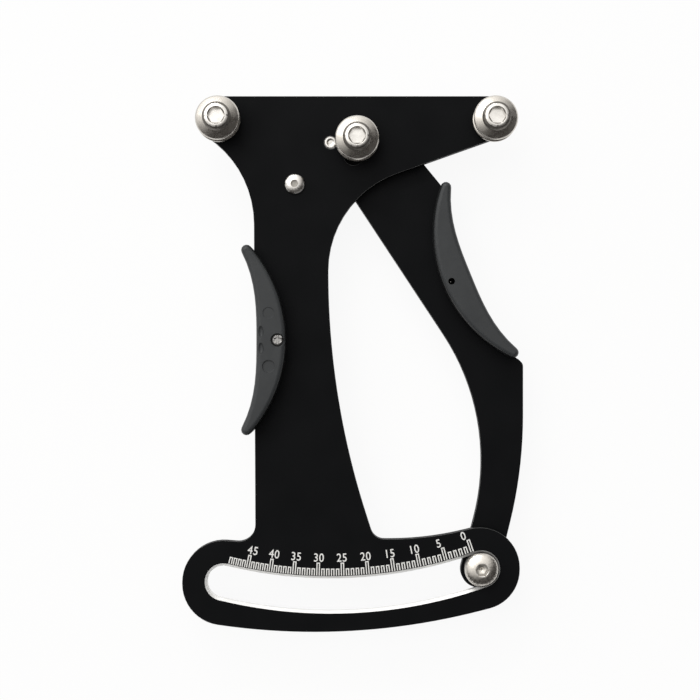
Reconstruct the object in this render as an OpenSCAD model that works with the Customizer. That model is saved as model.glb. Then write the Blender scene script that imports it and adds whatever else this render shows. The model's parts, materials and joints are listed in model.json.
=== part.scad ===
// Spoke tension meter: a squeeze-handle gauge that bends a wheel spoke over three posts
// and shows on an arc scale how far the middle post gets against the spoke.
// It lies on its back. X runs to the right, Y towards the posts, Z out of the scale's face.
// Sizes are given about the pivot; the whole is then set on the surface below it.

/* [Posts] */
// Distance of the left post from the pivot, along X
post_left = 45.7; // [41:0.1:51]
// Distance of the right post from the pivot, along X
post_right = 67; // [61:0.1:71]
// Height of the outer posts above the pivot, along Y
post_rise = 8.9; // [8.3:0.1:10.2]
// Distance of the middle post from the pivot
mid_post_r = 10.9; // [10.8:0.1:13]
// Direction of the middle post from the pivot at rest, up from X
mid_post_a = 4.2; // [0:0.1:9]
// Diameter over the flanges of a post
flange_d = 18; // [16:0.1:19]
// Diameter at the root of a post's groove, where the spoke lies
groove_d = 9; // [8.5:0.1:11]
// Length of the straight root of the groove
groove_w = 1.8; // [1:0.1:3]
// Height of a post
post_h = 11; // [9:0.1:14]
// Thickness of a flange's rim
flange_rim = 0.8; // [0.5:0.1:1.2]
// Diameter of a post's flat ends
post_end_d = 12.4; // [12:0.1:14]
// Height of the cone from a flat end to the flange
post_cone_h = 2; // [1:0.1:2.5]

/* [Screws] */
// Shank diameter of the post and pointer screws
screw_d = 6; // [5:0.1:6.4]
// Head diameter of the post screws
post_head_d = 11.5; // [10:0.1:12]
// Head height of the post screws
post_head_h = 4.6; // [4:0.1:6]
// Rounding of the post screws' heads
post_head_round = 2; // [1:0.1:2.2]
// Size across flats of the post screws' socket
post_socket = 6; // [5:0.1:6.4]
// Depth of the post screws' socket
post_socket_depth = 2.8; // [2:0.1:3.2]
// Flange diameter of the pointer screw
pointer_head_d = 14.2; // [13:0.1:16]
// Height of the pointer screw's head
pointer_head_h = 4; // [3.4:0.1:5]
// Thickness of the pointer screw's flange
pointer_flange_t = 0.8; // [0.6:0.1:1.2]
// Size across flats of the pointer screw's socket
pointer_socket = 4.8; // [4:0.1:5]
// Depth of the pointer screw's socket
pointer_socket_depth = 2.6; // [2:0.1:3]
// Shank diameter of the spring anchor screw
anchor_d = 4; // [3:0.1:4.6]
// Head diameter of the spring anchor screw
anchor_head_d = 8.2; // [7.4:0.1:9]
// Head height of the spring anchor screw
anchor_head_h = 2.2; // [1.8:0.1:3]
// Size across flats of the spring anchor screw's socket
anchor_socket = 2.8; // [2.2:0.1:3]
// Length of the spring anchor screw in its post
anchor_grip = 7.5; // [6:0.1:9]
// Shank diameter of the grip screws
grip_screw_d = 2.7; // [2.2:0.1:3]
// Head diameter of the grip screws
grip_head_d = 4.7; // [4.2:0.1:5]
// Head height of the grip screws
grip_head_h = 1.7; // [1.4:0.1:2]
// Size across flats of the nuts
nut_af = 10; // [9:0.1:11]
// Thickness of the nuts
nut_h = 3.2; // [3:0.1:5]
// Diameter of the washers under the nuts
washer_d = 12; // [11.6:0.1:13]
// Thickness of the washers under the nuts
washer_t = 0.8; // [0.6:0.1:1.2]
// Length of screw thread that shows past a nut
screw_past_nut = 0.6; // [0.2:0.1:1.2]

/* [Front plate] */
// Thickness of the front plate
plate_t = 4; // [3:0.1:5]
// Height of the head's top edge above the outer posts
head_above = 10.1; // [9.7:0.1:12.3]
// Rounding of the head's left end and of its upper right end
head_end_r = 8.8; // [8:0.1:9]
// How far the head reaches past the right post
head_past_right = 9.9; // [9.3:0.1:10.9]
// Width of the head past the left post
head_past_left = 9.5; // [9.2:0.1:10.4]
// Depth of the head's right end below its top edge
head_end_depth = 14.1; // [13.6:0.1:16]
// Rounding under the head's right end
head_under_r = 7.4; // [5:0.1:8]
// Radius of the throat between the head and the neck's right edge
throat_r = 42; // [30:0.5:42.5]
// Depth of the throat's corner below the pivot
throat_drop = 22.7; // [20:0.1:23.2]
// Distance of the neck's left edge from the pivot at the shoulder
neck_left = 31.5; // [31.5:0.1:34]
// How much the neck's left edge leans in towards the loop
neck_lean = 0.7; // [0:0.1:1.4]
// Place of the neck's right edge from the pivot, where it is narrowest
neck_right_x = -0.9; // [-2:0.1:1]
// Radius of the left shoulder between the head and the neck
shoulder_r = 43.7; // [38:0.1:45]
// Height over the slot's lowest middle point where the neck starts to spread to the right
spread_over = 81.3; // [76:0.1:81.7]
// Radius of the neck's spread
spread_r = 325; // [200:1:328]
// Distance of the neck's foot on the right from the slot's right end centre
foot_in = 44; // [38:0.1:48]
// Radius in the corner between the neck's foot and the loop
foot_r = 5.7; // [3:0.1:8]
// Radius in the corner between the neck's left edge and the loop
foot_left_r = 7; // [4:0.1:8]

/* [Scale loop] */
// Radius of the middle of the slot about the pivot
slot_r = 185.5; // [180:0.1:190]
// Width of the slot between its walls
slot_w = 13.3; // [12:0.1:13.6]
// Width of the bare chamfer round the slot
slot_chamfer = 1; // [0.3:0.1:1.2]
// Angle of the pointer from the plumb line at rest
rest_a = 19.5; // [19:0.1:21]
// Travel of the arm from rest to the slot's far end
travel_a = 33.2; // [30:0.1:34]
// Width of the loop past the slot's right end centre
loop_past_right = 15.7; // [14.5:0.1:17]
// Width of the loop past the slot's left end centre
loop_past_left = 16.9; // [16:0.1:18]
// Rounding of the loop's right end
loop_right_r = 16.4; // [14:0.1:16.6]
// Rounding of the loop's left end
loop_left_r = 17; // [14:0.1:17.2]
// Height of the loop's upper right corner over the slot's right end centre
loop_over_right = 21.6; // [21:0.1:23]
// Height of the loop's upper edge at the neck's foot over the slot's right end centre
loop_over_foot = 12.2; // [11.8:0.1:14]
// Distance of the bend in the loop's upper edge from the slot's right end centre
loop_bend_in = 21.7; // [18:0.1:26]
// Height of the loop's upper left corner over the slot's left end centre
loop_over_left = 18.4; // [17.4:0.1:20]
// Height of the corner between the loop and the neck's left edge over the slot's left end centre
loop_over_left_foot = 16; // [15:0.1:18]
// Drop of the loop's lower right corner under the slot's right end centre
loop_under_right = 13; // [12:0.1:14.4]
// Drop of the loop's lower left corner under the slot's left end centre
loop_under_left = 15.5; // [14.4:0.1:17]
// Drop of the loop's bottom corner under the slot's lowest middle point
loop_under_slot = 20.2; // [19:0.1:22]
// Radius of the loop's bottom edge
loop_bottom_r = 272; // [240:1:275]
// Radius of the loop's upper edge, right of the neck
loop_top_r = 128; // [80:1:130]

/* [Graduations] */
// Last unit of the scale
last_unit = 49; // [45:1:49]
// Units between two long marks
long_every = 5; // [5:5:10]
// Angle of the first unit
unit_a = 0.737; // [0.7:0.001:0.74]
// How much the angle closes up, for the square of the unit
unit_closing = 0.0015; // [0:0.0001:0.0017]
// Angle of the first mark from the plumb line
first_a = 19.1; // [18.6:0.1:19.4]
// Gap between the slot's chamfer and the marks
mark_gap = 0.25; // [0.2:0.05:0.8]
// Length of a long mark
long_mark = 5.3; // [4:0.1:6]
// Length of a short mark
short_mark = 2.9; // [2:0.1:3.4]
// Width over a mark's two lines
mark_w = 1.45; // [1.2:0.05:1.5]
// Width of a mark's line
mark_line = 0.45; // [0.3:0.05:0.5]
// Thickness of the marks' paint
mark_t = 0.06; // [0.04:0.01:0.1]

/* [Rear arm] */
// Thickness of the arm
arm_t = 4; // [3:0.1:5]
// Gap between the front plate and the arm
arm_gap = 0.8; // [0.6:0.1:1.5]
// Radius of the arm's round head about the pivot
arm_head_r = 13; // [12.5:0.1:14]
// Distance of the arm's upper right corner from the pivot, along X
arm_brow = 21; // [20:0.1:24]
// Rounding of the arm's upper right corner
arm_brow_r = 16; // [10:0.1:18]
// Distance of the arm's right edge behind the grip's chord line
arm_edge_in = 1; // [0.6:0.1:1.6]
// Distance of the arm's lower right edge to the right of the pointer
arm_right_out = 17.6; // [17:0.1:22]
// Height of the bend in the arm's right edge over the pointer
arm_bend_over = 40.3; // [33:0.1:49]
// Radius of the bend in the arm's right edge
arm_bend_r = 185; // [120:1:200]
// Distance of the corner of the arm's hollow left edge to the right of the pointer
arm_hollow_right = 8.2; // [7.2:0.1:9.2]
// Height of the corner of the arm's hollow left edge over the pointer
arm_hollow_over = 60.5; // [58:0.1:63]
// Radius of the arm's hollow left edge
arm_hollow_r = 94.3; // [70:0.1:98]
// Rounding of the arm's end round the pointer
arm_end_r = 7.6; // [7:0.1:7.7]
// Distance of the arm's end corner to the right of the pointer
arm_end_right = 5.6; // [5:0.1:7]
// Distance of the arm's end corner to the left of the pointer
arm_end_left = 10.6; // [10:0.1:12]
// Distance of the arm's end below the pointer
arm_end_under = 8.4; // [7.6:0.1:9]
// Drop of the step in the arm's right edge under the grip's lower tip
arm_step = 3.7; // [3:0.1:5]
// Rounding of the step in the arm's right edge
arm_step_r = 3.4; // [1:0.1:3.6]
// Place of the arm's left edge at the underside of its head, right of the pivot
arm_waist_x = 3.3; // [2.8:0.1:5]
// Radius in the corner under the arm's head
arm_waist_r = 4; // [2:0.1:5]

/* [Pivot] */
// Diameter of the pivot pin in the arm
pin_d = 6; // [5.4:0.1:6.4]
// Diameter of the pivot pin in the front plate
pin_front_d = 5.3; // [4.6:0.1:5.4]
// How far the pivot pin stands out of the front plate
pin_proud = 0.4; // [0:0.1:1]
// Outer diameter of the arm's bush
bush_d = 9; // [8.4:0.1:10]
// Diameter of the bush's flange between the plates
bush_flange_d = 13; // [11:0.1:13.4]
// Thickness of the guide washer between the arm and the loop
guide_washer_t = 0.7; // [0.5:0.05:0.75]
// Diameter of the guide washer
guide_washer_d = 13.6; // [12:0.1:14]
// Outer diameter of the middle post's spacer
spacer_d = 7.6; // [7.4:0.1:8.4]
// Thickness of the pivot's rear washer
pivot_washer_t = 0.8; // [0.6:0.1:1.2]
// Thickness of the retaining clip
clip_t = 0.8; // [0.6:0.1:1]
// Depth of the clip's groove in the pin
clip_bite = 0.5; // [0.3:0.1:0.7]
// Width of the retaining clip
clip_w = 2.4; // [1.8:0.1:3]
// Length of the pin past the retaining clip
pin_past_clip = 0.6; // [0.4:0.1:1.2]

/* [Spring] */
// Diameter of the spring's wire
wire_d = 1.8; // [1.4:0.1:2]
// Mean diameter of the spring's coil
coil_d = 12; // [11.6:0.1:12.6]
// Full turns of the spring, besides the part turn between its legs
coil_turns = 2; // [1:1:3]
// Gap between the spring's turns
coil_gap = 0.5; // [0.45:0.05:0.8]
// Distance of the spring's fixed post from the pivot
anchor_r = 22.5; // [22:0.1:24]
// Direction of the spring's fixed post from the pivot, from X
anchor_a = 229.2; // [224:0.1:232]
// Diameter of the spring's fixed post
anchor_post_d = 7; // [6.4:0.1:8]
// Distance of the arm's spring pin from the pivot
spring_pin_r = 20; // [19:0.1:21]
// Direction of the arm's spring pin from the pivot at rest, from X
spring_pin_a = 305; // [302:0.1:308]
// Diameter of the arm's spring pin
spring_pin_d = 4; // [3:0.1:4.4]
// Width and thickness of the rims that keep the legs on the post and the pin
spring_post_rim = 0.8; // [0.6:0.1:1.2]
// Outer diameter of the sleeve inside the coil
sleeve_d = 8.8; // [8:0.1:9]
// Length of a spring leg past what it pushes on
leg_past = 3; // [2:0.1:4]

/* [Grips] */
// Distance between the centres of a grip's two tips
grip_len = 73; // [66:0.5:74]
// Height of a grip's round belly over the line through its tips
grip_belly = 16; // [15.4:0.1:17]
// Height of a grip's hollow side over the line through its tips
grip_hollow = 4; // [3:0.1:4.4]
// Lean of a grip's hollow side at its tips
grip_hollow_lean = 27; // [22:0.5:30]
// Radius of a grip's tips
grip_tip_r = 2.2; // [2.1:0.1:2.6]
// Thickness of a grip's half on one side of its plate
grip_h = 8.5; // [7:0.1:10]
// Rounding of a grip's edges
grip_edge_r = 2; // [1:0.1:2]
// Width of the wall by which a grip closes round its plate's edge
grip_wrap = 2; // [1.4:0.1:2.4]
// Radius of the notch in a plate's edge, behind a grip's hollow side
notch_r = 110; // [100:1:120]
// Distance of the grip screw from the line through the tips
grip_screw_x = 12.5; // [12:0.1:12.8]
// Depth of the grip screw's head under the grip's face
grip_screw_sink = 0.9; // [0.4:0.1:1.6]
// Distance of the grip screw's point from the far face
grip_screw_tip = 5; // [3:0.1:6]
// Distance of the locating pegs from the line through the tips
peg_x = 9; // [8.8:0.1:9.6]
// Distance of the locating pegs from the middle of the grip
peg_y = 10.6; // [8:0.1:14]
// Diameter of the locating pegs
peg_d = 3.6; // [2.6:0.1:3.8]
// Depth of a locating peg in the other half
peg_in = 3; // [2:0.1:4]
// Place of the left grip's middle, left of the pivot
left_grip_x = 34; // [33.4:0.1:35]
// Place of the left grip's middle, below the pivot
left_grip_drop = 81; // [76:0.1:88]
// Place of the right grip's middle, right of the pivot
right_grip_x = 61; // [60.6:0.1:63]
// Place of the right grip's middle, below the pivot
right_grip_drop = 52.3; // [50:0.1:53]
// Lean of the right grip from upright
right_grip_lean = 22.2; // [21:0.1:23]

/* [Clearances] */
// Radial running clearance of the pivot pin in its bush
run_clear = 0.03; // [0.02:0.01:0.06]
// Radial clearance of the pointer's bush in the slot
slide_clear = 0.15; // [0.1:0.01:0.3]
// Radial clearance of pieces pushed or screwed together
seat_clear = 0.02; // [0.01:0.01:0.04]
// Radial clearance of screws in plain holes
hole_clear = 0.1; // [0.05:0.01:0.2]
// Radial clearance of the grip screws' heads in their recesses
recess_clear = 0.35; // [0.15:0.05:0.45]
// Clearance between pieces that move past each other
move_clear = 0.3; // [0.2:0.05:0.5]
// End clearance of the bearing pieces on the pivot
end_clear = 0.05; // [0.02:0.01:0.1]

/* [Hidden] */
$fn = 72;

// Colours
black_anodised = [0.07, 0.07, 0.08];
bare_steel = [0.78, 0.77, 0.74];
spring_steel = [0.55, 0.55, 0.56];
bronze = [0.70, 0.52, 0.30];
grip_grey = [0.27, 0.28, 0.29];
nylon_black = [0.12, 0.12, 0.12];
mark_white = [0.93, 0.93, 0.92];

// A cutter's reach past the face it leaves
past = 1;
// Steps of the rounded outlines: the longest chord and the largest turn of one step
chord_max = 5;
turn_max = 7.5;
// The part of an edge that the arcs at its two ends may take
arc_share = 0.995;

// ---- Plane helpers ----
function unit(v) = v / norm(v);
function polar(r, a) = r * [cos(a), sin(a)];
function turned(v, a) = [v[0] * cos(a) - v[1] * sin(a), v[0] * sin(a) + v[1] * cos(a)];
function flat(v) = [v[0], v[1]];
// Points along an arc round c, from angle a0 over the given turn
function arc(c, r, a0, turn, n) = [for (i = [0 : n]) c + polar(r, a0 + turn * i / n)];
// The arc that rounds corner b, given as [x, y, radius], between its neighbours a and c
function rounded_corner(a, b, c) =
    let (to_a = unit(flat(a) - flat(b)), to_c = unit(flat(c) - flat(b)),
         half = acos(to_a * to_c) / 2,
         centre = flat(b) + unit(to_a + to_c) * b[2] / sin(half),
         start = flat(b) + to_a * b[2] / tan(half) - centre,
         turn = (2 * half - 180) * sign(cross(to_a, to_c)),
         n = max(2, ceil(abs(turn) / turn_max), ceil(abs(turn) * PI / 180 * b[2] / chord_max)))
    arc(centre, b[2], atan2(start[1], start[0]), turn, n);
// How far the arc that rounds corner b reaches along its edges
function corner_reach(a, b, c) =
    b[2] * tan(abs(atan2(cross(flat(b) - flat(a), flat(c) - flat(b)),
                         (flat(b) - flat(a)) * (flat(c) - flat(b)))) / 2);
// The outline with every corner rounded; two arcs that would meet on an edge share most of it
function rounded_outline(corners) =
    let (n = len(corners),
         reach = [for (i = [0 : n - 1])
             corner_reach(corners[(i + n - 1) % n], corners[i], corners[(i + 1) % n])],
         share = [for (i = [0 : n - 1])
             let (j = (i + 1) % n)
             arc_share * norm(flat(corners[j]) - flat(corners[i])) / (reach[i] + reach[j])])
    [for (i = [0 : n - 1])
        let (before = (i + n - 1) % n, b = corners[i])
        each rounded_corner(corners[before], [b[0], b[1], b[2] * min(1, share[before], share[i])],
                            corners[(i + 1) % n])];
// The point where the line through p along u meets the line through q along v
function meet(p, u, q, v) = p + u * cross(q - p, v) / cross(u, v);

// ---- Places about the pivot ----
left_post = [-post_left, post_rise];
right_post = [post_right, post_rise];
mid_post = polar(mid_post_r, mid_post_a);
anchor = polar(anchor_r, anchor_a);
spring_pin_at = polar(spring_pin_r, spring_pin_a);
slot_right_a = -90 + rest_a;
slot_left_a = slot_right_a - travel_a;
slot_right = polar(slot_r, slot_right_a);
slot_left = polar(slot_r, slot_left_a);
left_grip = [-left_grip_x, -left_grip_drop];
right_grip = [right_grip_x, -right_grip_drop];
right_grip_a = 180 + right_grip_lean;

// ---- Levels: 0 is the back of the front plate ----
arm_front = -arm_gap;
arm_back = arm_front - arm_t;
coil_pitch = wire_d + coil_gap;
bush_end = arm_back - 0.4;
coil_top = arm_back - move_clear - wire_d / 2;

// ---- Spring: the legs lie on the near sides of the fixed post and the arm's pin ----
coil_r = coil_d / 2;
fixed_reach = coil_r + anchor_post_d / 2 + wire_d / 2 + end_clear;
moving_reach = coil_r + spring_pin_d / 2 + wire_d / 2 + end_clear;
fixed_leg_a = anchor_a - acos(fixed_reach / anchor_r);
moving_leg_a = spring_pin_a + acos(moving_reach / spring_pin_r) - 360;
fixed_leg_l = sqrt(anchor_r * anchor_r - fixed_reach * fixed_reach) + leg_past;
moving_leg_l = sqrt(spring_pin_r * spring_pin_r - moving_reach * moving_reach) + leg_past;
coil_sweep = fixed_leg_a - moving_leg_a + 360 * coil_turns;
coil_bottom = coil_top - coil_pitch * coil_sweep / 360;
sleeve_end = coil_bottom - wire_d / 2 - end_clear;
clip_top = sleeve_end - pivot_washer_t - 2 * end_clear;
pin_end = clip_top - clip_t - pin_past_clip;
spring_post_end = coil_bottom - wire_d / 2 - move_clear;

// ---- Outline of the front plate ----
head_top = post_rise + head_above;
head_right = post_right + head_past_right;
// The shoulder's hollow arc runs smoothly into the round end of the head
head_end = [head_end_r - post_left - head_past_left, head_top - head_end_r];
shoulder_x = -neck_left - shoulder_r;
shoulder_span = shoulder_r + head_end_r;
shoulder_y = head_end[1] - sqrt(pow(shoulder_span, 2) - pow(head_end[0] - shoulder_x, 2));
shoulder_centre = [shoulder_x, shoulder_y];
shoulder_dir = unit(head_end - shoulder_centre);
shoulder_end = shoulder_centre + shoulder_dir * shoulder_r;
shoulder_tangent = [-shoulder_dir[1], shoulder_dir[0]];
head_corner = meet(shoulder_end, shoulder_tangent, [0, head_top], [1, 0]);
shoulder_corner = meet(shoulder_end, shoulder_tangent, [-neck_left, 0], [0, 1]);
foot_y = slot_right[1] + loop_over_foot;
loop_right = slot_right[0] + loop_past_right;
loop_left = slot_left[0] - loop_past_left;
front_outline = rounded_outline([
    [each head_corner, head_end_r],
    [head_right, head_top, head_end_r],
    [head_right, head_top - head_end_depth, head_under_r],
    [neck_right_x, -throat_drop, throat_r],
    [neck_right_x, spread_over - slot_r, spread_r],
    [slot_right[0] - foot_in, foot_y, foot_r],
    [slot_right[0] - loop_bend_in, foot_y, loop_top_r],
    [loop_right, slot_right[1] + loop_over_right, loop_right_r],
    [loop_right, slot_right[1] - loop_under_right, loop_right_r],
    [(slot_left[0] + slot_right[0]) / 2, -slot_r - loop_under_slot, loop_bottom_r],
    [loop_left, slot_left[1] - loop_under_left, loop_left_r],
    [loop_left, slot_left[1] + loop_over_left, loop_left_r],
    [neck_lean - neck_left, slot_left[1] + loop_over_left_foot, foot_left_r],
    [each shoulder_corner, shoulder_r]]);

// ---- Outline of the arm ----
grip_end = grip_len / 2 + grip_tip_r;
arm_right = slot_right[0] + arm_right_out;
arm_grip_top = right_grip + turned([arm_edge_in, -grip_end], right_grip_a);
arm_grip_foot = right_grip + turned([arm_edge_in, grip_len / 2], right_grip_a);
arm_outline = rounded_outline([
    [-arm_head_r, arm_head_r, arm_head_r - 0.1],
    [arm_brow, arm_head_r, arm_brow_r],
    [each arm_grip_top, arm_step_r],
    [each arm_grip_foot, arm_step_r],
    [arm_right, arm_grip_foot[1] - arm_step, arm_step_r],
    [arm_right, slot_right[1] + arm_bend_over, arm_bend_r],
    [slot_right[0] + arm_end_right, slot_right[1] - arm_end_under, arm_end_r],
    [slot_right[0] - arm_end_left, slot_right[1] - arm_end_under, arm_end_r],
    [each slot_right + [arm_hollow_right, arm_hollow_over], arm_hollow_r],
    [arm_waist_x, -arm_head_r, arm_waist_r],
    [-arm_head_r, -arm_head_r, arm_head_r - 0.1]]);

// ---- Frame: the origin is under the middle of the whole ----
all_x = [for (p = concat(front_outline, arm_outline)) p[0]];
all_y = [for (p = concat(front_outline, arm_outline)) p[1]];
left_x = min(min(all_x), -post_left - flange_d / 2);
right_x = max(max(all_x), post_right + flange_d / 2);
low_y = min(all_y);
high_y = max(max(all_y), post_rise + flange_d / 2);
low_z = min(pin_end, arm_back - grip_h, -grip_h, spring_post_end - spring_post_rim);
pivot_at = [-(left_x + right_x) / 2, -(low_y + high_y) / 2, -low_z];
module in_frame() {
    translate(pivot_at) children();
}

// ---- Grip outline: a crescent, round at its tips, its hollow side straightest in the middle ----
belly_r = (pow(grip_len / 2, 2) + pow(grip_belly, 2) - pow(grip_tip_r, 2)) / (2 * (grip_belly - grip_tip_r));
belly_at = [grip_belly - belly_r, 0];
belly_a = atan2(grip_len / 2, -belly_at[0]);
hollow_end = [0, grip_len / 2] - polar(grip_tip_r, grip_hollow_lean);
hollow_drop = grip_hollow - hollow_end[0];
hollow_power = tan(grip_hollow_lean) * hollow_end[1] / hollow_drop;
notch_at = [grip_hollow + grip_wrap - notch_r, 0];
hollow_steps = 16;
tip_steps = 6;
belly_steps = hollow_steps + 2 * tip_steps;
edge_steps = 4;
// A point of the hollow side at height y, drawn in by the given amount
function hollow_point(y, inset) =
    let (u = abs(y) / hollow_end[1],
         slope = -sign(y) * hollow_drop * hollow_power * pow(u, hollow_power - 1) / hollow_end[1])
    [grip_hollow - hollow_drop * pow(u, hollow_power), y] + unit([1, -slope]) * inset;
// The crescent's outline, drawn in by a given amount
function crescent(inset) =
    let (tip = grip_tip_r - inset, tip_turn = 180 + grip_hollow_lean - belly_a)
    concat(arc(belly_at, belly_r - inset, -belly_a, 2 * belly_a, belly_steps),
           [for (i = [1 : tip_steps]) [0, grip_len / 2] + polar(tip, belly_a + tip_turn * i / tip_steps)],
           [for (i = [1 : hollow_steps])
               hollow_point(hollow_end[1] * (1 - 2 * i / hollow_steps), inset)],
           [for (i = [1 : tip_steps - 1])
               [0, -grip_len / 2] + polar(tip, 180 - grip_hollow_lean + tip_turn * i / tip_steps)]);
// ---- Shared shapes ----
// A bore from z0 to z1, reaching past both faces
module bore(d, z0, z1, at = [0, 0]) {
    translate([each at, z0 - past]) cylinder(d = d, h = z1 - z0 + 2 * past);
}
// A plain cylinder from z0 to z1
module rod(d, z0, z1, at = [0, 0]) {
    translate([each at, min(z0, z1)]) cylinder(d = d, h = abs(z1 - z0));
}
// A ring from z0 to z1
module ring(d_out, d_in, z0, z1, at = [0, 0]) {
    difference() {
        rod(d_out, z0, z1, at);
        bore(d_in, min(z0, z1), max(z0, z1), at);
    }
}
// Triangles across a closed outline of n points whose points k and n - k face each other
function strips(n) =
    concat([for (k = [0 : n / 2 - 2]) [k, k + 1, n - k - 1]],
           [for (k = [1 : n / 2 - 1]) [k, n - k - 1, n - k]]);
// A solid between rings of the same number of points, the first ring lowest
module stacked(rings) {
    n = len(rings[0]);
    last = (len(rings) - 1) * n;
    walls = [for (i = [0 : len(rings) - 2], k = [0 : n - 1])
        let (a = i * n + k, b = i * n + (k + 1) % n)
        each [[a, a + n, b], [b, a + n, b + n]]];
    lid = [for (f = strips(n)) [f[2] + last, f[1] + last, f[0] + last]];
    polyhedron([for (ring = rings) each ring], concat(walls, strips(n), lid));
}
// The outline of a slot along an arc round the pivot, between two angles, round at its ends
function slot_outline(r, a0, a1, half) =
    let (n = max(ceil((a1 - a0) / turn_max), ceil((a1 - a0) * PI / 180 * r / chord_max)), m = 12)
    concat(arc(polar(r, a0), half, a0 - 90, 90 - 90 / m, m - 1),
           arc([0, 0], r + half, a0, a1 - a0, n),
           arc(polar(r, a1), half, a1 + 90 / m, 180 - 180 / m, 2 * m - 2),
           arc([0, 0], r - half, a1, a0 - a1, n),
           arc(polar(r, a0), half, a0 + 180 + 90 / m, 90 - 180 / m, m - 2));
// Such a slot through a plate; its levels are given as [half its width, level]
module arc_slot(r, a0, a1, levels) {
    stacked([for (l = levels) [for (p = slot_outline(r, a0, a1, l[0])) [each p, l[1]]]]);
}
// A screw with its head's underside at level 0 and its shank running down
module screw(head_profile, shank_d, length, socket_af, socket_depth) {
    head_h = max([for (p = head_profile) p[1]]);
    difference() {
        union() {
            rotate_extrude() polygon(concat([[0, -past / 2]], [[shank_d / 2, -past / 2]],
                                            [[shank_d / 2, 0]], head_profile));
            rod(shank_d, -length, -past / 2);
        }
        translate([0, 0, head_h - socket_depth])
            cylinder(d = socket_af / cos(30), h = socket_depth + past, $fn = 6);
        translate([0, 0, head_h - socket_af * 0.1])
            cylinder(d1 = socket_af, d2 = socket_af * 1.24, h = socket_af * 0.12);
    }
}
// A cap head with a rounded upper edge
function cap_head(d, h, edge) =
    concat([[d / 2, 0]], arc([d / 2 - edge, h - edge], edge, 0, 90, 6), [[0, h]]);
// A domed head on a thin rim
function dome_head(d, h, rim) =
    concat([[d / 2, 0]],
           [for (i = [0 : 8]) let (a = 10 * i) [d / 2 * cos(a), rim + (h - rim) * sin(a)]],
           [[0, rim + (h - rim) * sin(80)]]);
module nut(z0, at) {
    difference() {
        translate([each at, z0 - nut_h]) cylinder(d = nut_af / cos(30), h = nut_h, $fn = 6);
        bore(screw_d + 2 * seat_clear, z0 - nut_h, z0, at);
    }
}
// A turned post: two flanges with cone faces and a groove for the spoke between them
module post(z0, at) {
    mid = post_h / 2;
    rim_0 = post_cone_h;
    rim_1 = rim_0 + flange_rim;
    profile = [[0, 0], [post_end_d / 2, 0], [flange_d / 2, rim_0], [flange_d / 2, rim_1],
               [groove_d / 2, mid - groove_w / 2], [groove_d / 2, mid + groove_w / 2],
               [flange_d / 2, post_h - rim_1], [flange_d / 2, post_h - rim_0],
               [post_end_d / 2, post_h], [0, post_h]];
    translate([each at, z0])
        difference() {
            rotate_extrude() polygon(profile);
            bore(screw_d + 2 * hole_clear, 0, post_h);
        }
}

// ---- Frame side ----
slot_half = slot_w / 2;
slot_levels = [[slot_half, -past], [slot_half, plate_t - slot_chamfer],
               [slot_half + slot_chamfer + past, plate_t + past]];
mid_opening_half = spacer_d / 2 + move_clear;
mid_opening_levels = [[mid_opening_half, -past], [mid_opening_half, plate_t + past]];
peg_hole_d = peg_d + 2 * move_clear;
// What a grip takes out of its plate: its screw's hole, its pegs' holes and the edge it wraps
module grip_cuts(at, lean, z0, z1) {
    translate([each at, 0])
        rotate([0, 0, lean]) {
            bore(grip_screw_d + 2 * hole_clear, z0, z1, [grip_screw_x, 0]);
            for (side = [-1, 1])
                bore(peg_hole_d, z0, z1, [peg_x, side * peg_y]);
            bore(2 * notch_r, z0, z1, notch_at);
        }
}
module front_plate() {
    color(black_anodised)
        in_frame()
            difference() {
                linear_extrude(plate_t) polygon(front_outline);
                arc_slot(slot_r, slot_left_a, slot_right_a, slot_levels);
                arc_slot(mid_post_r, mid_post_a - travel_a, mid_post_a, mid_opening_levels);
                bore(pin_front_d + 2 * seat_clear, 0, plate_t);
                bore(anchor_d + 2 * hole_clear, 0, plate_t, anchor);
                for (at = [left_post, right_post])
                    bore(screw_d + 2 * hole_clear, 0, plate_t, at);
                grip_cuts(left_grip, 0, 0, plate_t);
            }
}
// One mark: a narrow arch, open towards the slot
function mark_outline(r, length) =
    let (x = mark_w / 2, y = length - mark_line, x_in = x - mark_line)
    [[x, -r], [x, length - r], [-x, length - r], [-x, -r],
     [-x_in, -r], [-x_in, y - r], [x_in, y - r], [x_in, -r]];
function mark_angle(unit_no) = first_a - unit_a * unit_no + unit_closing * unit_no * unit_no;
module scale_marks() {
    mark_r = slot_r - slot_half - slot_chamfer - mark_gap;
    color(mark_white)
        in_frame()
            for (unit_no = [0 : last_unit])
                rotate([0, 0, mark_angle(unit_no)])
                    translate([0, 0, plate_t])
                        linear_extrude(mark_t)
                            polygon(mark_outline(mark_r, unit_no % long_every == 0 ? long_mark : short_mark));
}
module post_left() {
    color(bare_steel) in_frame() post(plate_t, left_post);
}
module post_right() {
    color(bare_steel) in_frame() post(plate_t, right_post);
}
post_nut_z = -washer_t;
post_screw_l = post_h + plate_t + washer_t + nut_h + screw_past_nut;
module post_screw(at, z0, length) {
    translate([each at, z0])
        screw(cap_head(post_head_d, post_head_h, post_head_round), screw_d, length, post_socket,
              post_socket_depth);
}
module post_screw_left() {
    color(bare_steel) in_frame() post_screw(left_post, plate_t + post_h, post_screw_l);
}
module post_screw_right() {
    color(bare_steel) in_frame() post_screw(right_post, plate_t + post_h, post_screw_l);
}
module post_washers() {
    color(bare_steel)
        in_frame()
            for (at = [left_post, right_post])
                ring(washer_d, screw_d + 2 * hole_clear, 0, -washer_t, at);
}
module post_nuts() {
    color(bare_steel)
        in_frame()
            for (at = [left_post, right_post])
                nut(post_nut_z, at);
}
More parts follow.
